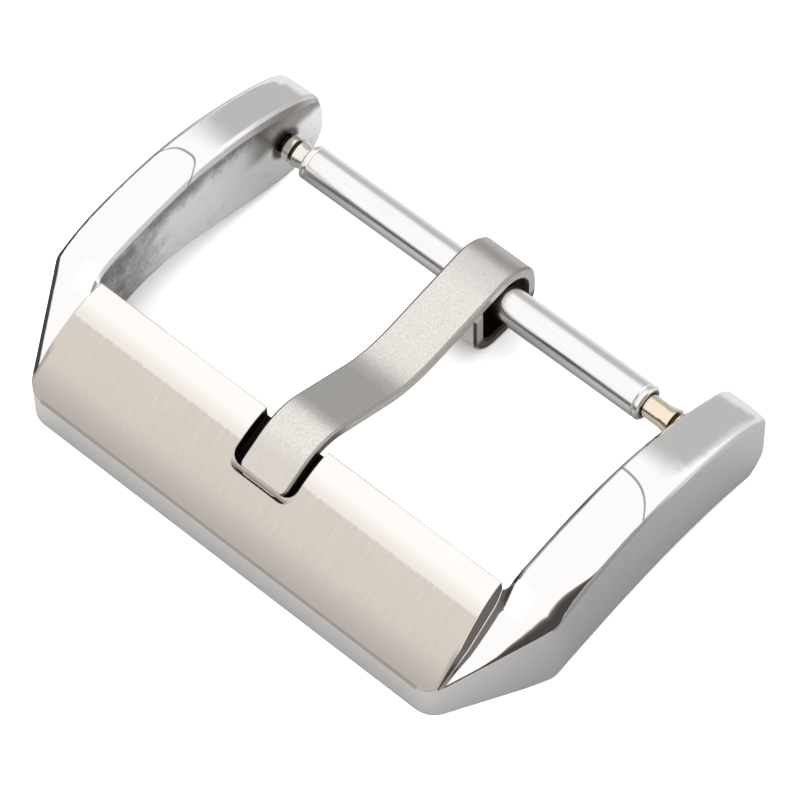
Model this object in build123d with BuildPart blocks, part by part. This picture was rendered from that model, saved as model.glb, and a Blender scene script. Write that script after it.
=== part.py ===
from build123d import *
from math import cos, radians, sin, tan
import os

# A tang buckle for a watch strap: a steel frame, a bent tang and a spring bar.
# Millimetres. The origin is the middle of the bar axis, X runs along the bar,
# the plate lies towards -Y and +Z is up. Heights are measured from the bar axis.

# Overall sizes
strap_width = 20.0
strap_side_gap = 0.25
arm_width = 2.25
window_depth = 10.5
plate_depth = 4.2
nose_reach = 2.32
base_drop = 2.2
running_gap = 0.03
overrun = 3.0

# Spring bar tube
tube_end_room = 3.34
tube_shift = 0.35
tube_radius = 0.75
tube_wall = 0.13
crimp_width = 0.26
crimp_groove_width = 0.14
crimp_groove_depth = 0.06
crimp_bevel = 0.07

# End pins of the spring bar, the gap measured from the arm's inner wall
pin_wall_gap = 0.29
pin_flange_length = 0.3
pin_flange_radius = 0.57
pin_groove_length = 0.18
pin_groove_radius = 0.43
pin_flare_length = 0.45
pin_flare_radius = 0.58
pin_shaft_radius = 0.49
pin_head_length = 0.7
pin_tip_radius = 0.4
pin_tip_bite = 0.49
pin_tip_chamfer = 0.08

# Coil inside the tube
spring_wire = 0.18
spring_turns = 10
spring_wire_sides = 6
spring_gap = 0.05

# Blind holes for the pin tips
tip_hole_gap = 0.05
tip_hole_spare = 0.25

# Side outline of the arms. Along the top it runs from the facet's bend over collar,
# haunch, hip, crown and shoulder to the nose, each with an inner and an outer height.
# Their places are shares of the window's depth.
arm_lean = 0.9
toe_drop = 0.6
bend_height = 1.16
collar_inner = 2.16
collar_outer = 1.73
haunch_inner = 2.64
haunch_outer = 2.34
hip_inner = 2.95
hip_outer = 2.76
crown_inner = 3.09
crown_outer = 2.94
shoulder_back = 0.6
shoulder_inner = 2.31
shoulder_outer = 2.24
nose_top_reach = 1.2
nose_top_height = 1.56
nose_brow_reach = 2.0
nose_brow_height = 0.9
nose_drop = 0.7
heel_reach = 1.15
heel_back = 2.4
heel_drop = 1.6
arch_inner = 0.6
arch_outer = 1.75
bend_place_share = 1.053
collar_place_share = 0.98
haunch_place_share = 0.886
hip_place_share = 0.69
crown_place_share = 0.495
arch_place_share = 0.78
toe_foot_place_share = 1.09

# How hard the two end directions of an outline pull on it
pull_shares = (1.0, 1.0)

# Bevel along the inner top edge and rounding along the outer one. Both are deepest
# at the nose and fade out towards the bend, as these shares of their drop say. The
# arm's root reaches inwards past the window's side, to meet the plate's end wall.
bevel_root = 0.75
bevel_width = 0.25
bevel_drop = 0.42
round_width = 0.9
round_drop = 0.55
round_steps = 3
collar_share = 0.36
haunch_share = 0.68
hip_share = 0.67
crown_share = 0.75
shoulder_share = 0.98
nose_share = 0.35

# Plan of the frame
knee_behind = 0.1
knee_radius = 0.8
front_half_width = 10.08
front_corner_radius = 1.1
window_corner_radius = 0.25
nose_corner_radius = 0.6
nose_corner_room = 0.05

# Front plate
plate_edge_height = 2.22
plate_edge_slope = 4.0
plate_shoulder_depth = 1.5
plate_shoulder_height = 1.68
plate_front_drop = 0.65
plate_front_slope = 45.0
plate_front_radius = 0.3
plate_thickness = 1.9
plate_lip = 0.9
plate_hollow_depth = 1.8
plate_hollow_drop = 0.6
plate_end_gap = 0.12
plate_end_turn_share = 0.067
plate_end_lean_share = 0.057

# Tang, with the height of the strip's middle line at the peak
tang_width = 2.3
tang_thickness = 0.55
tang_slope = 8.4
tang_dip_place_share = 0.52
tang_dip_radius = 5.0
tang_peak_behind = 0.15
tang_peak_height = 2.25
tang_peak_radius = 2.2
tang_tip_ahead = 2.16
tang_tip_slope = 31.0
tang_tip_corner = 0.5
tang_edge_bevel = 0.1
loop_gap = 0.12
loop_rear = 1.8
loop_bottom = 2.05
loop_front = 1.8
loop_rear_radius = 1.5
loop_corner_radius = 0.85
loop_end_gap = 0.08

# Notch for the tang's tip
notch_side_gap = 0.38
notch_front_gap = 0.05
notch_corner_radius = 0.5

# Sizes that follow from those above
half_strap = strap_width / 2
half_window = half_strap + strap_side_gap
frame_front = window_depth + plate_depth
bore_radius = tube_radius - tube_wall
lip_radius = pin_shaft_radius + running_gap
head_radius = bore_radius - running_gap
half_tang = tang_thickness / 2
half_tube = half_window - tube_end_room / 2
pin_flange_end = half_window - pin_wall_gap
pin_flange_start = pin_flange_end - pin_flange_length
pin_groove_start = pin_flange_start - pin_groove_length
pin_flare_start = pin_groove_start - pin_flare_length
pin_tip_end = half_window + pin_tip_bite
knee_back = window_depth - knee_behind
outer_reach = half_window + arm_width - knee_back * tan(radians(arm_lean))
bend_back = window_depth * bend_place_share

os.makedirs("parts", exist_ok=True)


def arm_section(reach, lean, heights, arch, drop):
    """Side outline of an arm on an upright plane that crosses the bar axis at reach."""
    collar, haunch, hip, crown, shoulder = heights
    turn = radians(lean)
    wall = Plane(
        origin=(reach, 0, 0),
        x_dir=(-sin(turn), cos(turn), 0),
        z_dir=(cos(turn), sin(turn), 0),
    )
    with BuildSketch(wall) as side:
        with BuildLine():
            toe = Line((-frame_front, -base_drop), (-frame_front, -toe_drop))
            facet = Line(toe @ 1, (-bend_back, bend_height))
            back = Spline(
                facet @ 1,
                (-window_depth * collar_place_share, collar - drop * collar_share),
                (-window_depth * haunch_place_share, haunch - drop * haunch_share),
                (-window_depth * hip_place_share, hip - drop * hip_share),
                (-window_depth * crown_place_share, crown - drop * crown_share),
                (-shoulder_back, shoulder - drop * shoulder_share),
                (nose_top_reach, nose_top_height - drop),
                (nose_brow_reach - drop * nose_share, nose_brow_height - drop * nose_share),
                (nose_reach - drop * nose_share, -nose_drop),
                tangents=[facet % 1, (0, -1)],
                tangent_scalars=pull_shares,
            )
            foot = TangentArc(back @ 1, (heel_reach, -base_drop), tangent=back % 1)
            under = Spline(
                foot @ 1,
                (-heel_back, -heel_drop),
                (-window_depth * arch_place_share, -arch),
                (-window_depth * toe_foot_place_share, -base_drop),
            )
            Line(under @ 1, toe @ 0)
        make_face()
    return side.sketch


def bent_strip(points, radii, thickness, width, tip_corner):
    """A flat strip bent along a line in the YZ plane, its tip rounded in plan."""
    with BuildPart() as strip:
        with BuildSketch(Plane.YZ):
            with BuildLine():
                FilletPolyline(*points, radius=radii)
            trace(line_width=thickness)
        extrude(amount=width / 2, both=True)
        tip = strip.faces().sort_by(Axis.Y)[0]
        fillet(tip.edges().filter_by(Axis.X, reverse=True), tip_corner)
    return strip.part


# One arm: bevel inside, tilted facet, then the rounding towards the outer wall
inner_heights = (collar_inner, haunch_inner, hip_inner, crown_inner, shoulder_inner)
outer_heights = (collar_outer, haunch_outer, hip_outer, crown_outer, shoulder_outer)
round_start = outer_reach - round_width
with BuildPart() as arm:
    facet_sections = [
        arm_section(half_window - bevel_root, 0, inner_heights, arch_inner, bevel_drop),
        arm_section(half_window, 0, inner_heights, arch_inner, bevel_drop),
        arm_section(half_window + bevel_width, 0, inner_heights, arch_inner, 0),
        arm_section(round_start, arm_lean, outer_heights, arch_outer, 0),
    ]
    loft(sections=facet_sections, ruled=True)
    round_sections = []
    for step in range(round_steps + 1):
        angle = radians(90 * step / round_steps)
        reach = round_start + round_width * sin(angle)
        drop = round_drop * (1 - cos(angle))
        round_sections.append(arm_section(reach, arm_lean, outer_heights, arch_outer, drop))
    loft(sections=round_sections)

# Half of the front bar: a domed plate over a hollow for the strap, cut off by an end wall
# that leans a little and turns outwards towards the front
with BuildPart() as front_bar:
    with BuildSketch(Plane.YZ):
        with BuildLine():
            rear = window_depth - window_corner_radius
            edge_turn = radians(plate_edge_slope)
            front_turn = radians(plate_front_slope)
            rim_height = plate_edge_height + window_corner_radius * tan(edge_turn)
            rim = Line((-rear, rim_height), (-window_depth, plate_edge_height))
            dome = Spline(
                rim @ 1,
                (-window_depth - plate_shoulder_depth, plate_shoulder_height),
                (-frame_front, -plate_front_drop),
                tangents=[(-cos(edge_turn), -sin(edge_turn)), (-cos(front_turn), -sin(front_turn))],
                tangent_scalars=pull_shares,
            )
            wall = Line(dome @ 1, (-frame_front, -base_drop))
            lip = Line(wall @ 1, (plate_lip - frame_front, -base_drop))
            inner_edge = (-window_depth, plate_edge_height - plate_thickness)
            hollow_top = (-window_depth - plate_hollow_depth, -plate_hollow_drop)
            hollow = ThreePointArc(lip @ 1, hollow_top, inner_edge)
            under = Line(hollow @ 1, (-rear, plate_edge_height - plate_thickness))
            Line(under @ 1, rim @ 0)
        make_face()
    extrude(amount=half_window)
    end_face = Plane(
        origin=(half_window - plate_end_gap, -window_depth, 0),
        z_dir=(1, plate_end_turn_share, plate_end_lean_share),
    )
    split(bisect_by=end_face, keep=Keep.BOTTOM)
    front_edge = front_bar.edges().filter_by(Axis.X).sort_by(Axis.Y)[:2].sort_by(Axis.Z)[-1]
    fillet(front_edge, plate_front_radius)

# The tang's middle line, from its tip over the peak and the dip to the loop round the bar
strip_turn = radians(tang_slope)
strip_lift = (tube_radius + loop_gap + half_tang) / cos(strip_turn)
tang_peak_back = window_depth - tang_peak_behind
tang_tip_back = window_depth + tang_tip_ahead
tang_dip_back = window_depth * tang_dip_place_share
tip_fall = (tang_tip_back - tang_peak_back) * tan(radians(tang_tip_slope))
tip_point = Vector(-tang_tip_back, tang_peak_height - tip_fall)
peak_point = Vector(-tang_peak_back, tang_peak_height)
dip_point = Vector(-tang_dip_back, strip_lift - tang_dip_back * tan(strip_turn))
rear_middle = loop_rear - half_tang
front_middle = loop_front - half_tang
bottom_middle = loop_bottom - half_tang
end_drop = half_tang / cos(strip_turn) + loop_front * tan(strip_turn) + loop_end_gap
loop_points = [
    Vector(rear_middle, strip_lift + rear_middle * tan(strip_turn)),
    Vector(rear_middle, -bottom_middle),
    Vector(-front_middle, -bottom_middle),
    Vector(-front_middle, strip_lift - end_drop),
]
tang_points = [tip_point, peak_point, dip_point, *loop_points]
tang_radii = [tang_peak_radius, tang_dip_radius, loop_rear_radius, loop_corner_radius, loop_corner_radius]

with BuildPart() as tang:
    add(bent_strip(tang_points, tang_radii, tang_thickness, tang_width, tang_tip_corner))
    sides = tang.faces().filter_by(Axis.X)
    chamfer(sides.edges(), tang_edge_bevel)
tang.part.label = "tang"

# Room for the tip: the same strip, wider and longer, and the same again above it
notch_width = tang_width + 2 * notch_side_gap
notch_thickness = tang_thickness + 2 * running_gap
tip_way = (tip_point - peak_point).normalized()
notch_end = tip_point + tip_way * notch_front_gap
with BuildPart() as notch:
    for lift in (Vector(0, 0), Vector(0, tang_thickness)):
        path = [notch_end + lift, peak_point + lift, dip_point + lift]
        add(bent_strip(path, [tang_peak_radius], notch_thickness, notch_width, notch_corner_radius))

with BuildPart() as frame:
    add(arm.part)
    add(front_bar.part)
    mirror(about=Plane.YZ)
    with BuildSketch(Plane.XY):
        with BuildLine():
            far = nose_reach + nose_corner_room
            outside = FilletPolyline(
                (0, -frame_front),
                (front_half_width, -frame_front),
                (half_window + arm_width, -knee_back),
                (outer_reach - far * tan(radians(arm_lean)), far),
                (half_window, far),
                radius=[front_corner_radius, knee_radius, nose_corner_radius],
            )
            inside = FilletPolyline(
                (half_window, far),
                (half_window, -window_depth),
                (0, -window_depth),
                radius=window_corner_radius,
            )
            Line(inside @ 1, outside @ 0)
        make_face()
        mirror(about=Plane.YZ)
    extrude(amount=base_drop + overrun, both=True, mode=Mode.INTERSECT)
    add(notch.part, mode=Mode.SUBTRACT)
    hole_depth = pin_tip_bite + tip_hole_spare
    for side in (1, -1):
        with BuildSketch(Plane.YZ.offset(side * half_window)):
            Circle(pin_tip_radius + tip_hole_gap)
        extrude(amount=side * hole_depth, mode=Mode.SUBTRACT)
frame.part.label = "frame"

# Half of the tube is turned about the bar axis, then mirrored about the tube's middle
tube_middle = Plane.YZ.offset(-tube_shift)
with BuildPart() as spring_bar_tube:
    with BuildSketch(Plane.XZ):
        with BuildLine():
            end = half_tube - tube_shift
            lip_face = end - crimp_width
            groove_front = lip_face + crimp_groove_width / 2
            groove_back = lip_face - crimp_groove_width / 2
            Polyline(
                (-tube_shift, bore_radius),
                (lip_face, bore_radius),
                (lip_face, lip_radius),
                (end, lip_radius),
                (end, tube_radius),
                (groove_front, tube_radius),
                (lip_face, tube_radius - crimp_groove_depth),
                (groove_back, tube_radius),
                (-tube_shift, tube_radius),
                close=True,
            )
        make_face()
    revolve(axis=Axis.X)
    rim = spring_bar_tube.edges().filter_by(GeomType.CIRCLE).group_by(Axis.X)[-1].sort_by(SortBy.RADIUS)[-1]
    chamfer(rim, crimp_bevel)
    mirror(about=tube_middle)
spring_bar_tube.part.label = "spring_bar_tube"


def end_pin(head_face):
    """Right-hand end pin: head in the tube, shaft, flare, tool groove, flange and tip."""
    with BuildPart() as pin:
        with BuildSketch(Plane.XZ):
            with BuildLine():
                Polyline(
                    (head_face - pin_head_length, 0),
                    (head_face - pin_head_length, head_radius),
                    (head_face, head_radius),
                    (head_face, pin_shaft_radius),
                    (pin_flare_start, pin_shaft_radius),
                    (pin_groove_start, pin_flare_radius),
                    (pin_groove_start, pin_groove_radius),
                    (pin_flange_start, pin_groove_radius),
                    (pin_flange_start, pin_flange_radius),
                    (pin_flange_end, pin_flange_radius),
                    (pin_flange_end, pin_tip_radius),
                    (pin_tip_end - pin_tip_chamfer, pin_tip_radius),
                    (pin_tip_end, pin_tip_radius - pin_tip_chamfer),
                    (pin_tip_end, 0),
                    close=True,
                )
            make_face()
        revolve(axis=Axis.X)
    return pin.part


# Each head rests against the crimped lip at its own end of the tube
right_head_face = half_tube - tube_shift - crimp_width - running_gap
left_head_face = half_tube + tube_shift - crimp_width - running_gap
with BuildPart() as end_pin_right:
    add(end_pin(right_head_face))
end_pin_right.part.label = "end_pin_right"

with BuildPart() as end_pin_left:
    mirror(end_pin(left_head_face), about=Plane.YZ)
end_pin_left.part.label = "end_pin_left"

# The coil pushes the two heads apart
coil_margin = pin_head_length + running_gap + spring_wire / 2
coil_start = -(left_head_face - coil_margin)
coil_length = right_head_face - coil_margin - coil_start
coil_radius = bore_radius - spring_gap - spring_wire / 2
with BuildPart() as spring_bar_spring:
    with BuildLine():
        coil = Helix(
            pitch=coil_length / spring_turns,
            height=coil_length,
            radius=coil_radius,
            center=(coil_start, 0, 0),
            direction=(1, 0, 0),
        )
    with BuildSketch(Plane(origin=coil @ 0, z_dir=coil % 0)):
        RegularPolygon(spring_wire / 2, spring_wire_sides)
    sweep()
spring_bar_spring.part.label = "spring_bar_spring"

for piece in (frame, tang, spring_bar_tube, end_pin_left, end_pin_right, spring_bar_spring):
    export_step(piece.part, f"parts/{piece.part.label}.step")
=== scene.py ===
# %% [markdown]
# A tang buckle for a watch strap, dressed in steel finishes.
# The shapes come from a CAD model that is loaded as a fixed frame: a solid frame with two arms, a
# bent tang, and a spring bar with its end pins. Blender adds what a photograph shows of the metal
# itself: a brushed plate, mirror-polished facets, satin walls, and the soft white studio that
# they reflect. Everything is in metres, and the buckle lies where the CAD model puts it, with the
# bar's axis on X.

from math import cos, radians, sin

import bpy
from mathutils import Matrix, Vector


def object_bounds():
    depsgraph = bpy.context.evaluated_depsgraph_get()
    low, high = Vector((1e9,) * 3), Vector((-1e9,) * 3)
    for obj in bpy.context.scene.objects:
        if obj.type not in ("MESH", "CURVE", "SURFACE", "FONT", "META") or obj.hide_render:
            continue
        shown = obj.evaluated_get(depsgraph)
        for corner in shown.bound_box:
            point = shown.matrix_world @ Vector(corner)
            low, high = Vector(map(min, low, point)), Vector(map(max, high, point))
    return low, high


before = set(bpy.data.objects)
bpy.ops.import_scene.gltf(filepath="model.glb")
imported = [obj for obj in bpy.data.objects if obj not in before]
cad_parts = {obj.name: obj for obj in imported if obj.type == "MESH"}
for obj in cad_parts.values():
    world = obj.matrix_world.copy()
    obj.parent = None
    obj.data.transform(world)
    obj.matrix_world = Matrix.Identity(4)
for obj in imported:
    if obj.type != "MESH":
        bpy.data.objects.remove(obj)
cad_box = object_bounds()
MM = 0.001
print("CAD nodes:", sorted(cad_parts))

# %% [markdown]
# A long lens flattens a small object, as the photograph does. The camera stands where 41 degrees
# of turn and 56 degrees of height put it, 191 mm from the middle of the bar, and is aimed a little
# to the side so that the buckle sits in the picture as it does in the photograph. It could also be
# turned by hand until the picture fits, but numbers can be solved for and checked.

# %% Camera
IMAGE_WIDTH = 800
FOCAL_PIXELS = 5000
SENSOR_WIDTH = 36.0
CAMERA_TURN = radians(41.0)
CAMERA_HEIGHT = radians(56.0)
CAMERA_DISTANCE = 191.468 * MM
BAR_PIXEL = (483.49, 285.71)

back = Vector((
    sin(CAMERA_TURN) * cos(CAMERA_HEIGHT),
    -cos(CAMERA_TURN) * cos(CAMERA_HEIGHT),
    sin(CAMERA_HEIGHT),
))
level = Vector((cos(CAMERA_TURN), sin(CAMERA_TURN), 0))
upward = back.cross(level)
centre = IMAGE_WIDTH / 2
side_step = (centre - BAR_PIXEL[0]) / FOCAL_PIXELS
rise_step = (BAR_PIXEL[1] - centre) / FOCAL_PIXELS
aim = (side_step * level + rise_step * upward - back).normalized()
right = (level - level.dot(aim) * aim).normalized()
camera_data = bpy.data.cameras.new("camera")
camera_data.sensor_width = SENSOR_WIDTH
camera_data.lens = FOCAL_PIXELS / IMAGE_WIDTH * SENSOR_WIDTH
camera_data.clip_start = MM
camera = bpy.data.objects.new("camera", camera_data)
bpy.context.scene.collection.objects.link(camera)
turned = Matrix((right, right.cross(aim), -aim)).transposed()
camera.matrix_world = Matrix.Translation(back * CAMERA_DISTANCE) @ turned.to_4x4()
bpy.context.scene.camera = camera
print("camera at", [round(value, 4) for value in camera.location])

# %% [markdown]
# Shaders are node trees, and sums of nodes are hard to read when each is added by hand. The small
# class below stands for one socket: plus, minus, times and divide between two of them add the
# Math node for it, so a mask can be written as one line of arithmetic. A mask is a number for
# every place on the surface, 1 where a finish belongs and 0 elsewhere. Most masks here are soft
# steps, because a hard step leaves a jagged border. The two numbers of a step are millimetres
# where it follows a place, and from -1 to 1 where it follows a direction.

# %% A small language for node maths
class Value:
    """A socket in a node tree. Plus, minus, times and divide add Math nodes to it."""

    def __init__(self, tree, socket):
        self.tree = tree
        self.socket = socket

    def math(self, operation, *others):
        return self.tree.node("ShaderNodeMath", {"operation": operation}, [self, *others])

    def __add__(self, other):
        return self.math("ADD", other)

    def __sub__(self, other):
        return self.math("SUBTRACT", other)

    def __mul__(self, other):
        return self.math("MULTIPLY", other)

    def __truediv__(self, other):
        return self.math("DIVIDE", other)

    def __rsub__(self, other):
        return self.tree.node("ShaderNodeMath", {"operation": "SUBTRACT"}, [other, self])

    def __neg__(self):
        return self * -1

    __radd__ = __add__
    __rmul__ = __mul__

    def smooth(self, low, high):
        """0 below low, 1 above high, a soft step between them."""
        settings = {"interpolation_type": "SMOOTHSTEP"}
        return self.tree.node("ShaderNodeMapRange", settings, [self, low, high, 0, 1])

    def fade(self, low, high):
        """1 below low, 0 above high: the soft step the other way round."""
        return 1 - self.smooth(low, high)


# %% [markdown]
# A tree wraps the nodes of one material or of the world. Its one method adds any node, so all of
# them are made in the same way: the settings first, because they decide which inputs a node has,
# then the inputs. The Mix node keeps a set of sockets for each kind of data, and the colour ones
# have the numbers below. Blend mixes two colours, and paint lays several over one another.

# %% Node trees and colours
MIX_FIRST = 6
MIX_SECOND = 7
MIX_COLOUR = 2


class Tree:
    """A node tree, with one method that adds any node."""

    def __init__(self, owner):
        owner.use_nodes = True
        self.nodes = owner.node_tree.nodes
        self.links = owner.node_tree.links
        self.nodes.clear()

    def node(self, kind, settings, inputs, output=0):
        """Adds a node: its settings first, then its inputs by name or in order."""
        made = self.nodes.new(kind)
        for name, setting in settings.items():
            setattr(made, name, setting)
        pairs = inputs.items() if isinstance(inputs, dict) else enumerate(inputs)
        for key, value in pairs:
            if isinstance(value, Value):
                self.links.new(value.socket, made.inputs[key])
            else:
                made.inputs[key].default_value = value
        return Value(self, made.outputs[output]) if made.outputs else None

    def split(self, vector):
        """The three parts of a vector."""
        parts = self.node("ShaderNodeSeparateXYZ", {}, [vector]).socket.node.outputs
        return [Value(self, parts[axis]) for axis in "XYZ"]

    def blend(self, factor, first, second, label=""):
        """A colour between first, at factor 0, and second, at factor 1."""
        settings = {"data_type": "RGBA", "clamp_factor": True, "label": label}
        colours = {0: factor, MIX_FIRST: first, MIX_SECOND: second}
        return self.node("ShaderNodeMix", settings, colours, MIX_COLOUR)

    def paint(self, tone, layers):
        """Lays colours over a tone, one after the other. Each layer is a mask and a colour."""
        for label, (mask, colour) in layers.items():
            tone = self.blend(mask, tone, colour, label)
        return tone


def shade(red, green, blue):
    return (red, green, blue, 1)


def grey(amount):
    return (amount, amount, amount, 1)


print("node maths ready")

# %% [markdown]
# Polished metal shows nothing but its surroundings, so the studio matters as much as the steel.
# It is written as a world whose brightness depends on the direction: white overhead and in
# front, and behind the buckle a wall that is light grey and gets paler to the right. Dark strips
# lie low in front and on the left: these give the polished edges their dark lines. Only
# reflections see this room. The camera itself meets plain white, as in a cut-out product picture,
# and the paper under the buckle is lit evenly from all sides, so that it keeps only faint
# shadows. Real softboxes and cards could be modelled instead, but they would light the floor
# as well, and each would have to be moved for every change of tone.

# %% Studio
ROOM_LIGHT = 1.16
PAPER_LIGHT = 2.6
BACKDROP_WHITE = 1.0
WALL_LIGHT = 0.58
WALL_PALER = 0.24
WALL_TURN = 0.12
LEFT_STRIP_DARK = 0.9
FRONT_STRIP_DARK = 0.8

bpy.context.scene.view_settings.view_transform = "Standard"
world = bpy.data.worlds.new("studio")
bpy.context.scene.world = world
room = Tree(world)
direction = room.node("ShaderNodeTexCoord", {}, {}, "Generated")
east, north, height = room.split(direction)
back_wall = WALL_LIGHT + east.smooth(0.0, 0.6) * WALL_PALER
behind = (north - east * WALL_TURN).smooth(0.62, 0.76)
room_level = ROOM_LIGHT - (ROOM_LIGHT - back_wall) * behind
left_strip = east.fade(-0.90, -0.75) * height.fade(0.10, 0.18)
front_strip = north.fade(-0.85, -0.75) * height.fade(0.10, 0.16)
shadows = (1 - left_strip * LEFT_STRIP_DARK) * (1 - front_strip * FRONT_STRIP_DARK)
mirrored = room.node("ShaderNodeLightPath", {}, {}, "Is Glossy Ray")
seen = room.node("ShaderNodeLightPath", {}, {}, "Is Camera Ray")
plain_level = PAPER_LIGHT + seen * (BACKDROP_WHITE - PAPER_LIGHT)
strength = mirrored * room_level * shadows + (1 - mirrored) * plain_level
sky = room.node("ShaderNodeBackground", {}, {"Color": grey(1.0), "Strength": strength})
room.node("ShaderNodeOutputWorld", {}, {"Surface": sky})
print("world ready:", len(room.nodes), "nodes")

# %% [markdown]
# The floor is plain paper. In the picture it is almost burnt out to white, while in the steel
# it looks mid-grey, so reflections meet a darker tone than the camera does: the Light Path node
# tells the two apart. It lies a hair below the buckle, so that the two surfaces don't flicker.

# %% Floor
FLOOR_GAP = 0.02 * MM
FLOOR_SIZE = 400 * MM
PAPER_SEEN = grey(0.88)
PAPER_MIRRORED = grey(0.31)
PAPER_ROUGHNESS = 0.9

floor_height = cad_box[0][2] - FLOOR_GAP
bpy.ops.object.select_all(action="DESELECT")
bpy.ops.mesh.primitive_plane_add(size=FLOOR_SIZE, location=(0, 0, floor_height))
floor = bpy.context.object
floor.name = "floor"
floor_paint = bpy.data.materials.new("floor_paint")
ground = Tree(floor_paint)
mirrored = ground.node("ShaderNodeLightPath", {}, {}, "Is Glossy Ray")
matt = ground.node("ShaderNodeBsdfPrincipled", {}, {
    "Base Color": ground.blend(mirrored, PAPER_SEEN, PAPER_MIRRORED, "darker in reflections"),
    "Roughness": PAPER_ROUGHNESS,
    "Specular IOR Level": 0.0,
})
ground.node("ShaderNodeOutputMaterial", {}, {"Surface": matt})
floor.data.materials.append(floor_paint)
print("floor at", round(floor_height / MM, 2), "mm")

# %% [markdown]
# A soft lamp from the upper left gives the faint shadows a side. Glossy rays don't see it,
# because its square outline would show in the polished facets.

# %% Lamp
LAMP_PLACE = Vector((-90, 60, 150)) * MM
LAMP_WIDTH = 160 * MM
LAMP_DEPTH = 120 * MM
LAMP_WATTS = 0.15

lamp_data = bpy.data.lights.new("softbox", "AREA")
lamp_data.shape = "RECTANGLE"
lamp_data.size = LAMP_WIDTH
lamp_data.size_y = LAMP_DEPTH
lamp_data.energy = LAMP_WATTS
lamp = bpy.data.objects.new("softbox", lamp_data)
bpy.context.scene.collection.objects.link(lamp)
facing_buckle = LAMP_PLACE.to_track_quat("Z", "Y").to_matrix().to_4x4()
lamp.matrix_world = Matrix.Translation(LAMP_PLACE) @ facing_buckle
lamp.visible_glossy = False
print("lamp at", [round(value, 3) for value in LAMP_PLACE])

# %% [markdown]
# Every steel here is made in the same way: a Principled shader set to metal, a colour and a
# roughness that masks mix, fine marks as bump, and a Bevel node that rounds the sharp edges of
# the CAD solids in the shading, as a polishing wheel does. The masks read the place on the
# piece in millimetres and the direction in which the surface faces. Each piece could be unwrapped
# and painted by hand instead, but masks by place stay right when the CAD model changes a little.

# %% Steel
BEVEL_SAMPLES = 6
EVEN = (1.0, 1.0, 1.0)


def start_steel(name):
    """A new material with a tree, and the place on the piece in millimetres."""
    finish = bpy.data.materials.new(name)
    tree = Tree(finish)
    place = tree.node("ShaderNodeTexCoord", {}, {}, "Object")
    place = tree.node("ShaderNodeVectorMath", {"operation": "SCALE"}, {0: place, "Scale": 1 / MM})
    return finish, tree, place, tree.split(place)


def facing(tree):
    """How far a place faces +X, +Y and +Z, each from -1 to 1."""
    return tree.split(tree.node("ShaderNodeNewGeometry", {}, {}, "Normal"))


def stretched_noise(tree, place, stretch, scale, detail):
    """Noise whose grains are drawn out along the axes with a small stretch factor."""
    scaled = tree.node("ShaderNodeVectorMath", {"operation": "MULTIPLY"}, [place, stretch])
    return tree.node("ShaderNodeTexNoise", {}, {"Vector": scaled, "Scale": scale, "Detail": detail})


def broken_edge(sideways, upwards):
    """The narrow bevel between a top face and a side: it faces half sideways and half up."""
    return sideways.smooth(0.45, 0.65) * upwards.smooth(0.3, 0.45)


def bar_distance(y, z):
    """Distance from the axis of the spring bar."""
    return (y * y + z * z).math("SQRT")


def finish_steel(tree, colour, roughness, marks, mark_depth, edge_radius, metal=1.0):
    """Closes a metal's tree. Edges catch the light over a rounding of that radius."""
    rounded = tree.node("ShaderNodeBevel", {"samples": BEVEL_SAMPLES}, {"Radius": edge_radius})
    bump = tree.node("ShaderNodeBump", {}, {
        "Strength": 1.0,
        "Distance": mark_depth,
        "Height": marks,
        "Normal": rounded,
    })
    shader = tree.node("ShaderNodeBsdfPrincipled", {}, {
        "Base Color": colour,
        "Metallic": metal,
        "Roughness": roughness,
        "Normal": bump,
    })
    tree.node("ShaderNodeOutputMaterial", {}, {"Surface": shader})


print("steel functions ready")

# %% [markdown]
# The frame is one piece of steel with several finishes, so one material tells them apart by place:
# the plate is brushed from front to back, the arms' facets are polished, the outer walls are satin
# and the inner walls keep the marks of the tool. Three noises serve all of them: long brush
# strokes, a fine grain and large blotches.

# %% Frame: strokes, grain and blotches
BRUSHED_BACK = (1.0, 0.06, 0.06)

frame_steel, tree, place, (x, y, z) = start_steel("frame_steel_finish")
brush = stretched_noise(tree, place, BRUSHED_BACK, scale=14.0, detail=3.0)
grain = stretched_noise(tree, place, EVEN, scale=9.0, detail=4.0)
blotches = stretched_noise(tree, place, EVEN, scale=1.6, detail=5.0)
print("noises made:", len(tree.nodes), "nodes")

# %% [markdown]
# The two arms mirror each other, so most masks use the distance from the middle instead of x.
# The plate ends in a wall that leans a little and runs a little inwards towards the front. The
# distance from that plane tells the plate from the facets of the arms.

# %% Frame: plate, facets and inner walls
END_WALL_X = 10.13
END_WALL_TURN = 0.067
END_WALL_LEAN = 0.057
PLATE_REAR = 10.5
REAR_SOFTNESS = 0.02
INNER_WALL_X = 10.3
INNER_WALL_ROOM = 0.1

facing_side, facing_back, facing_up = facing(tree)
across = x.math("ABSOLUTE")
facing_out = facing_side * x.math("SIGN")
on_right = x.smooth(-1.0, 1.0)
end_distance = (across - END_WALL_X) + END_WALL_TURN * (y + PLATE_REAR) + END_WALL_LEAN * z
in_front = y.fade(-PLATE_REAR - REAR_SOFTNESS, -PLATE_REAR + REAR_SOFTNESS)
on_plate = end_distance.fade(-0.04, -0.01) * in_front * facing_up.smooth(0.15, 0.25)
on_facet = (1 - on_plate) * facing_up.smooth(0.45, 0.6)
at_inner_wall = (across - INNER_WALL_X).math("ABSOLUTE").math("LESS_THAN", INNER_WALL_ROOM)
on_inner_wall = (-facing_out).smooth(0.75, 0.9) * at_inner_wall
# Bevels that face left and up carry a painted dark reflection.
left_edge_dark_reflection = broken_edge(-facing_side, facing_up)
# Painted dark reflection on the inner bevel of the arms.
inner_bevel_dark_reflection = across.fade(10.36, 10.40) * (-facing_out).smooth(0.3, 0.5) * facing_up.smooth(0.2, 0.4)
print("surfaces told apart:", len(tree.nodes), "nodes")
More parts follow.
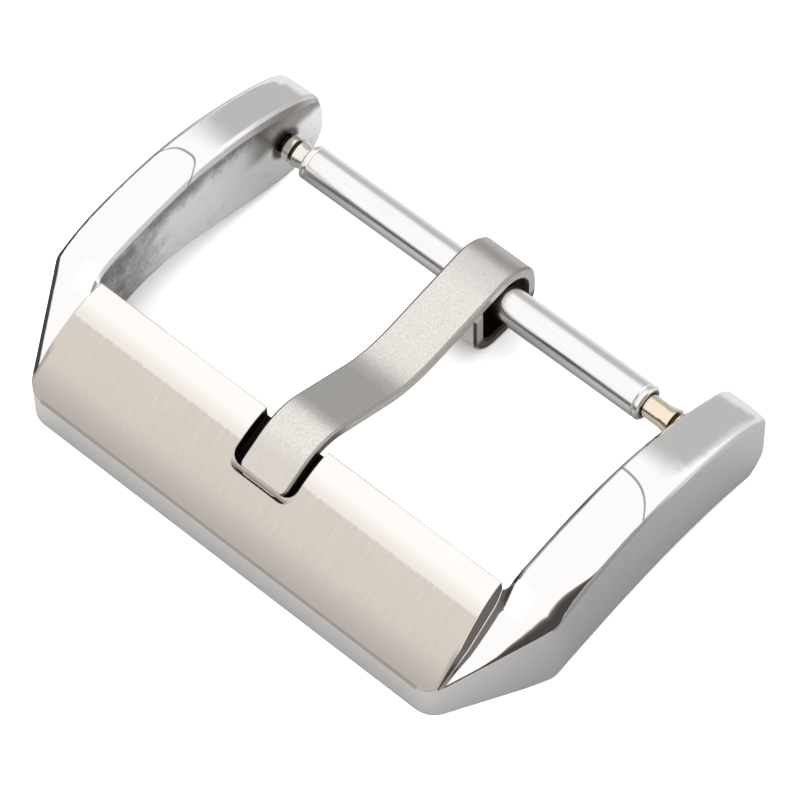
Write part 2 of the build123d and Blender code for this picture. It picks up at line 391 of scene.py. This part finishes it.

# %% [markdown]
# The notch for the tang's tip gets painted shade inside. How deep a place lies under the dome of the
# plate tells the notch from the plate, so the dome is written as a curve of y. In front of the tip
# the gap is a narrow groove, and a thin bridge of steel that the real notch doesn't have lies between
# the two. Steel in the groove would only mirror its own dark walls, so it is made matt, and the
# border of the notch stays light as in the photograph.

# %% Frame: the notch
DOME_START = 10.4
DOME_HEIGHT = 2.2
DOME_FALL = 0.2
DOME_CURVE = 0.008
NOTCH_FRONT = (-12.64, -12.60)

dome = -y - DOME_START
plate_height = DOME_HEIGHT - dome * dome * DOME_FALL + dome * dome * dome * DOME_CURVE
depth = plate_height - z
notch_shade = across.fade(1.57, 1.60) * depth.smooth(0.06, 0.12) * y.smooth(*NOTCH_FRONT)
notch_lip = across.fade(1.70, 1.75) * depth.smooth(0.03, 0.08)
notch_lip = notch_lip * y.fade(*NOTCH_FRONT) * y.smooth(-13.1, -13.0)
print("notch masks made:", len(tree.nodes), "nodes")

# %% [markdown]
# Between plate and arm stands a low wall that mirrors the dark side of the room, and that dark
# reflection is painted into its colour. Near the front it is upright, so it needs a mask of its own
# there, and a narrow strip of the facet beside it gets the same painted dark reflection. The corner
# behind the plate, where the arm's haunch begins, has very steep facets: as full metal they would
# show as black specks, so they are less metallic.

# %% Frame: the wall between plate and arm
WALL_ROOM = 0.03
LOW_STRIP_SHARE = 0.9

end_wall_dark_reflection = end_distance.math("ABSOLUTE").math("LESS_THAN", WALL_ROOM)
end_wall_dark_reflection = end_wall_dark_reflection * facing_out.smooth(0.93, 0.97) * in_front
low_wall_dark_reflection = across.fade(10.28, 10.31) * facing_out.smooth(0.97, 0.99) * y.fade(-12.9, -12.8)
low_strip_dark_reflection = across.fade(10.36, 10.42) * y.fade(-13.5, -13.2) * on_facet
end_wall_dark_reflection = end_wall_dark_reflection.math("MAXIMUM", low_wall_dark_reflection).math("MAXIMUM", low_strip_dark_reflection * LOW_STRIP_SHARE)
# Painted shade on the plate near its end at the front, where its edge rounds off.
plate_end_shade = end_distance.smooth(-0.30, -0.10) * y.fade(-13.5, -12.9)
corner = y.smooth(-10.95, -10.85) * y.fade(-10.15, -10.0) * across.fade(11.1, 11.3)
haunch_corner = corner * (1 - on_plate) * facing_up.smooth(0.3, 0.4) * across.smooth(10.40, 10.46)
print("wall masks made:", len(tree.nodes), "nodes")

# %% [markdown]
# The outer edge of a real buckle is broken by hand on a polishing wheel, most at the knee where
# the arm turns towards the front. That soft edge turns away from the lights, so it shows as a
# dark rim that is widest at the right knee, runs out along the arm and thins towards the front
# corner. On the left arm only a thin line of it is left. The rim could be modelled as a rounding
# that changes along the edge. Painted by the distance from the edge, it can be as wide as the
# photograph shows it at each place.

# %% Frame: the dark rim along the outer edge
FRONT_EDGE = 14.7
TOE_WIDTH = 10.08
TAPER_ACROSS = 0.4905
TAPER_ALONG = 0.8715
OUTER_WALL = 12.337
OUTER_LEAN = 0.0157
KNEE_RIM = 0.5
THIN_RIM = 0.07
LEFT_WIDENING = 0.12
RIGHT_ENDING = 0.069
RIM_WAVES = 0.25

taper_distance = (y + FRONT_EDGE) * TAPER_ACROSS - (across - TOE_WIDTH) * TAPER_ALONG
wall_distance = OUTER_WALL - y * OUTER_LEAN - across
rim_distance = taper_distance.math("MINIMUM", wall_distance)
knee_width = y.fade(-10.3, -7.8) * y.smooth(-13.0, -10.2) * KNEE_RIM * on_right
widening = (1 - on_right) * y.fade(-8.5, -5.5) * LEFT_WIDENING
ending = on_right * y.smooth(-6.0, -4.8) * RIGHT_ENDING
rim_width = knee_width + (THIN_RIM + widening - ending)
rim_share = rim_distance / rim_width + (blotches - 0.5) * RIM_WAVES
rim = rim_share.fade(0.75, 1.0) * on_facet
# Painted brown reflection in the middle of the right rim; the rest of the rim is painted black
# reflection.
brown_reflection = rim_share.smooth(0.45, 0.85) * on_right
rim_tone = tree.blend(brown_reflection, shade(0.012, 0.008, 0.007), shade(0.115, 0.065, 0.05), "rim")
print("rim made:", len(tree.nodes), "nodes")

# %% [markdown]
# Across each facet runs one fine curved line, the border of the softbox as the polished steel shows
# it. It crosses the facet behind the crown and bends into the edge on the right-hand side: the outer
# edge of the right arm, the inner edge of the left one. A thin solid could stand for it, but a
# reflection has no thickness, so it is a mask. The crown of the arm is written as a curve of y as
# well: below it a painted reflection of the rounded edge gives the outer wall a narrow strip of
# another tone, dark towards the front and light towards the nose.

# %% Frame: the curved line on the facets
LINE_Y = 4.28
RIGHT_BEND_X = 10.5
RIGHT_BEND_WIDTH = 1.7
LEFT_BEND_X = 11.3
LEFT_BEND_WIDTH = 0.85
BEND_LEFT = 0.6
BEND_MORE_RIGHT = 0.2
CROWN_HEIGHT = 2.84
CROWN_Y = 4.6
CROWN_FALL = 0.033

right_bend = (across - RIGHT_BEND_X) / RIGHT_BEND_WIDTH * on_right
left_bend = (LEFT_BEND_X - across) / LEFT_BEND_WIDTH * (1 - on_right)
bend_place = right_bend + left_bend
bend = (bend_place * bend_place * bend_place).math("ABSOLUTE")
bend = bend * (BEND_LEFT + on_right * BEND_MORE_RIGHT)
line_distance = (y + LINE_Y + bend).math("ABSOLUTE")
curved_line = line_distance.fade(0.03, 0.08) * on_facet
crown_height = CROWN_HEIGHT - (y + CROWN_Y) * (y + CROWN_Y) * CROWN_FALL
under_crown = crown_height - z
# Painted reflection: a strip of the outer wall under the crown.
wall_reflection_strip = under_crown.fade(0.37, 0.45) * (1 - on_facet) * facing_out.smooth(0.7, 0.8)
wall_reflection_strip = wall_reflection_strip * (1 - in_front)
print("curved line made:", len(tree.nodes), "nodes")

# %% [markdown]
# The plate is warm grey from its brush strokes. A painted highlight makes it pale in a strip along
# its rear edge, where the dome turns to the lights, and painted shade makes it darker where it falls
# off to the front.

# %% Frame: tones of the plate
STROKE_REACH = 0.15

plate_tone = tree.blend(brush, shade(0.495, 0.448, 0.405), shade(0.61, 0.552, 0.50), "brush strokes")
# Painted highlight: the pale strip along the rear edge of the plate.
rear_highlight_strip = (y + brush * STROKE_REACH).smooth(-11.97, -11.83)
highlight_strip_dark = shade(0.71, 0.67, 0.63)
highlight_strip_light = shade(0.83, 0.80, 0.765)
highlight_strip_tone = tree.blend(y.smooth(-11.9, -11.2), highlight_strip_dark, highlight_strip_light, "rear strip's tones")
plate_tone = tree.blend(rear_highlight_strip, plate_tone, highlight_strip_tone, "rear strip")
# Painted shade: darker where the plate falls off to the front.
front_slope_shade = shade(0.40, 0.365, 0.335)
plate_tone = tree.blend(y.smooth(-14.7, -13.4), front_slope_shade, plate_tone, "front slope")
print("plate tones made:", len(tree.nodes), "nodes")

# %% [markdown]
# The outer walls are satin. Painted reflection makes them lighter towards the front and gives them
# one even tone towards the nose, to stand for the light they mirror. The inner walls keep cloudy
# marks. Painted shade makes them darker near the top edge and towards the front, and dark inside the
# hole for the spring bar and above it. Every tone is a mix of two colours, so that no picture is
# needed.

# %% Frame: tones of the walls
STRIP_SHARE = 0.85
CLOUD_MIDDLE = 0.42
CLOUD_SHARE = 1.3
GRAIN_SHARE = 0.7
ABOVE_HOLE_SHARE = 0.8

wall_tone = tree.blend(grain, shade(0.44, 0.43, 0.42), shade(0.53, 0.52, 0.51), "satin grain")
# Painted reflection: the outer walls are lighter towards the front.
wall_tone = tree.blend(y.smooth(-14.0, -9.0), shade(0.69, 0.675, 0.66), wall_tone, "front wall")
wall_tone = tree.blend(y.smooth(-7.0, 1.0), wall_tone, shade(0.53, 0.52, 0.51), "nose")
# The strip's painted reflection runs from dark in front to light towards the nose.
strip_reflection_tone = tree.blend(y.smooth(-5.5, -2.5), shade(0.31, 0.30, 0.29), shade(0.80, 0.80, 0.79))
wall_tone = tree.blend(wall_reflection_strip * STRIP_SHARE, wall_tone, strip_reflection_tone, "strip under the crown")

# Painted shade: the inner walls are darker near the top edge and towards the front.
lit_below_top = under_crown.smooth(0.2, 1.3) * y.smooth(-10.0, -5.5)
lightness = lit_below_top + (blotches - CLOUD_MIDDLE) * CLOUD_SHARE + (grain - 0.5) * GRAIN_SHARE
inner_tone = tree.blend(lightness, shade(0.30, 0.285, 0.275), shade(1.0, 0.99, 0.98), "clouds")
# Painted shade above the hole for the spring bar.
shade_above_hole = z.smooth(0.1, 0.7) * y.smooth(-2.6, -1.2) * ABOVE_HOLE_SHARE
inner_tone = tree.blend(shade_above_hole, inner_tone, shade(0.20, 0.185, 0.175), "painted shade above the hole")
# Painted shade inside the hole.
clear_of_hole_shade = bar_distance(y, z).smooth(0.62, 0.88)
inner_tone = tree.blend(clear_of_hole_shade, shade(0.10, 0.09, 0.08), inner_tone, "hole")
print("wall tones made:", len(tree.nodes), "nodes")

# %% [markdown]
# Now the layers are laid over one another like thin coats of paint: the walls first, then the
# facets, the edges and lines on them, and last the plate with its notch. A number after a mask
# says how well the coat covers what is below it. Each Mix node carries the layer's name as its
# label, so that it can be found in the shader editor.

# %% Frame: layers of colour
ARM_MIDDLE = 11.0
LEFT_BEVEL_SHARE = 0.45
RIGHT_BEVEL_MORE = 0.4
PLATE_END_SHARE = 0.6

outer_half = (across - ARM_MIDDLE).math("GREATER_THAN", 0.0)
bevel_share = LEFT_BEVEL_SHARE + on_right * RIGHT_BEVEL_MORE
end_shade_colour = shade(0.26, 0.23, 0.21)
# The plate's tone with its painted end shade.
plate_tone_with_end_shade = tree.blend(plate_end_shade * PLATE_END_SHARE, plate_tone, end_shade_colour, "painted shade at the end of the plate")
tone = tree.paint(wall_tone, {
    "facets": (on_facet, shade(0.84, 0.83, 0.82)),
    "inner walls": (on_inner_wall, inner_tone),
    # Painted dark reflection along the outer edge of the left arm.
    "painted dark reflection on the outer edge on the left": (left_edge_dark_reflection * outer_half * 0.9, shade(0.06, 0.05, 0.05)),
    "painted dark reflection on the inner bevel": (inner_bevel_dark_reflection * bevel_share, shade(0.12, 0.11, 0.105)),
    "dark rim": (rim * 0.95, rim_tone),
    "curved line": (curved_line * 0.75, shade(0.14, 0.13, 0.125)),
    # Painted dark reflection on the wall between plate and arm and the strip beside it.
    "wall between plate and arm": (end_wall_dark_reflection, shade(0.068, 0.05, 0.044)),
    "plate": (on_plate, plate_tone_with_end_shade),
    "border of the notch": (notch_lip, shade(0.30, 0.27, 0.245)),
    # Painted shade inside the notch.
    "notch": (notch_shade, shade(0.022, 0.015, 0.013)),
})
print("layers laid:", len(tree.nodes), "nodes")

# %% [markdown]
# Roughness decides how sharp the reflections are: the satin walls blur them, the facets are
# almost mirrors, and where a facet turns back towards the nose the polish is softer. The marks
# are only a few thousandths of a millimetre deep, so they belong in the bump and not in the mesh.

# %% Frame: roughness and marks
SATIN = 0.34
POLISH = 0.29
SOFTER_NOSE = 0.6
BRUSHED_POLISH = 0.04
BLOTCH_DEPTH = 2
STROKE_DEPTH = 0.004 * MM
FRAME_EDGE = 0.08 * MM
CORNER_MATT = 0.7

polish = on_facet * POLISH * (1 - facing_back.smooth(0.4, 0.6) * SOFTER_NOSE)
roughness = SATIN - polish - on_plate * BRUSHED_POLISH
marks = brush * on_plate + grain * (1 - on_plate - on_facet) + blotches * on_inner_wall * BLOTCH_DEPTH
metal = 1 - haunch_corner * CORNER_MATT - notch_lip
finish_steel(tree, tone, roughness, marks, STROKE_DEPTH, FRAME_EDGE, metal)
print("frame steel finished:", len(tree.nodes), "nodes")

# %% [markdown]
# The tang is a bent strip with a fine satin top. Painted shade makes it darker where it turns away
# from the light in its dip and at the back of its loop, along its edges and sides, and inside its
# loop, where hardly any light arrives. These places get masks, because the softly lit studio alone
# leaves them too pale.

# %% Tang: masks
tang_steel, tree, place, (x, y, z) = start_steel("tang_steel_finish")
facing_side, facing_back, facing_up = facing(tree)
grain = stretched_noise(tree, place, EVEN, scale=14.0, detail=5.0)
facing_bar = -(facing_back * y + facing_up * z)
in_loop = facing_bar.smooth(0.2, 0.4) * y.smooth(-2.4, -2.2)
# Painted dark reflection along the tang's left edge.
left_edge_dark_reflection = broken_edge(-facing_side, facing_up)
right_edge = broken_edge(facing_side, facing_up)
right_side = facing_side.smooth(0.75, 0.9)
low_side = right_side * y.fade(-9.8, -8.8)
under_bar = right_side * z.smooth(-2.0, -1.96) * z.fade(-1.2, -0.8) * y.smooth(-1.74, -1.7)
tip_front = (-facing_back).smooth(0.90, 0.95)
print("tang masks made:", len(tree.nodes), "nodes")

# %% [markdown]
# The tang's colours are laid over its satin tone as on the frame. The front of its tip stands in
# the narrow groove of the notch, so it is matt like the groove.

# %% Tang: colour and finish
SATIN_TOP = 0.30
GRAIN_ROUGHNESS = 0.06
GRAIN_DEPTH = 0.003 * MM
TANG_EDGE = 0.05 * MM

satin = tree.blend(grain.smooth(0.2, 0.8), shade(0.57, 0.535, 0.50), shade(0.77, 0.735, 0.70))
tone = tree.paint(satin, {
    "tip": (y.fade(-11.8, -10.8) * 0.6, shade(0.50, 0.46, 0.42)),
    "far side of the dip": (facing_back.smooth(0.15, 0.4) * 0.6, shade(0.38, 0.38, 0.38)),
    "back of the loop": (y.smooth(-1.6, 0.2) * 0.5, shade(0.42, 0.40, 0.385)),
    "left edge": (left_edge_dark_reflection * 0.8, shade(0.06, 0.05, 0.05)),
    "side in the notch": (low_side * 0.85, shade(0.06, 0.045, 0.04)),
    "round corners of the tip": ((-facing_back).smooth(0.62, 0.72), shade(0.07, 0.055, 0.05)),
    "front of the tip": (tip_front, shade(0.42, 0.385, 0.35)),
    "right edge": (right_edge * 0.6, shade(0.16, 0.14, 0.13)),
    "inside of the loop": (in_loop.math("MAXIMUM", under_bar * 0.85), shade(0.035, 0.022, 0.018)),
})
roughness = SATIN_TOP + grain * GRAIN_ROUGHNESS
finish_steel(tree, tone, roughness, grain, GRAIN_DEPTH, TANG_EDGE, 1 - tip_front)
print("tang steel finished:", len(tree.nodes), "nodes")

# %% [markdown]
# The tube of the spring bar is drawn through a die, which leaves faint lines along it. It is
# polished; painted shade makes it darker on its underside and black in its bore.

# %% Tube
DRAWN_ALONG = (0.05, 1.0, 1.0)
BORE = (0.60, 0.64)
DRAWN_DEPTH = 0.001 * MM
TUBE_EDGE = 0.03 * MM

tube_steel, tree, place, (x, y, z) = start_steel("tube_steel_finish")
drawn = stretched_noise(tree, place, DRAWN_ALONG, scale=12.0, detail=2.0)
tone = tree.blend(drawn, shade(0.76, 0.745, 0.735), shade(0.86, 0.85, 0.84), "drawn lines")
# Painted shade on the underside of the tube.
tone = tree.blend(z.smooth(-0.1, 0.3), shade(0.46, 0.445, 0.435), tone, "underside")
# Painted shade in the bore.
bore_shade = bar_distance(y, z).fade(*BORE)
tone = tree.blend(bore_shade, tone, shade(0.04, 0.03, 0.025), "bore")
roughness = 0.16 + drawn * 0.05
finish_steel(tree, tone, roughness, drawn, DRAWN_DEPTH, TUBE_EDGE)
print("tube steel finished:", len(tree.nodes), "nodes")

# %% [markdown]
# The pins are turned on a lathe, which leaves rings round them. In the photograph the right one
# mirrors something warm and looks pale gold, the left one looks silver, so one material serves both
# and picks the colour by the side: the right pin's warm reflection is painted into its colour.
# Painted shade makes the groove for the tool dark.

# %% End pins
RINGS = (1.0, 0.1, 0.1)
GROOVE = (0.44, 0.47)
RING_DEPTH = 0.002 * MM
PIN_EDGE = 0.03 * MM

pin_steel, tree, place, (x, y, z) = start_steel("pin_steel_finish")
rings = stretched_noise(tree, place, RINGS, scale=20.0, detail=2.0)
# Painted warm reflection on the right pin.
warm_reflection_tone = tree.blend(rings, shade(0.72, 0.61, 0.47), shade(0.86, 0.77, 0.64), "warm_reflection_tone")
silver = tree.blend(rings, shade(0.70, 0.66, 0.60), shade(0.84, 0.81, 0.76), "silver")
tone = tree.blend(x.math("GREATER_THAN", 0.0), silver, warm_reflection_tone, "right pin")
# Painted shade in the groove for the tool.
groove_shade = bar_distance(y, z).fade(*GROOVE)
tone = tree.blend(groove_shade, tone, shade(0.05, 0.035, 0.02), "groove")
roughness = 0.12 + rings * 0.08
finish_steel(tree, tone, roughness, rings, RING_DEPTH, PIN_EDGE)
print("pin steel finished:", len(tree.nodes), "nodes")

# %% [markdown]
# The spring lies hidden in the tube. It only needs plain drawn wire, for views that cut it open.

# %% Spring
WIRE_DEPTH = 0.001 * MM
WIRE_EDGE = 0.01 * MM

spring_steel, tree, place, _ = start_steel("spring_steel_finish")
drawn = stretched_noise(tree, place, EVEN, scale=10.0, detail=2.0)
wire_tone = tree.blend(drawn, grey(0.35), grey(0.5), "drawn wire")
roughness = 0.3 + drawn * 0.1
finish_steel(tree, wire_tone, roughness, drawn, WIRE_DEPTH, WIRE_EDGE)
print("spring steel finished:", len(tree.nodes), "nodes")

# %% [markdown]
# Each finish takes the place of the plain material that came with the CAD model. Both end pins
# share one.

# %% Finishes on the pieces
finishes = {
    "frame": frame_steel,
    "tang": tang_steel,
    "spring_bar_tube": tube_steel,
    "end_pin_left": pin_steel,
    "end_pin_right": pin_steel,
    "spring_bar_spring": spring_steel,
}
for node_name, finish in finishes.items():
    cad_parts[node_name].data.materials[0] = finish
print("finishes on", len(finishes), "nodes")
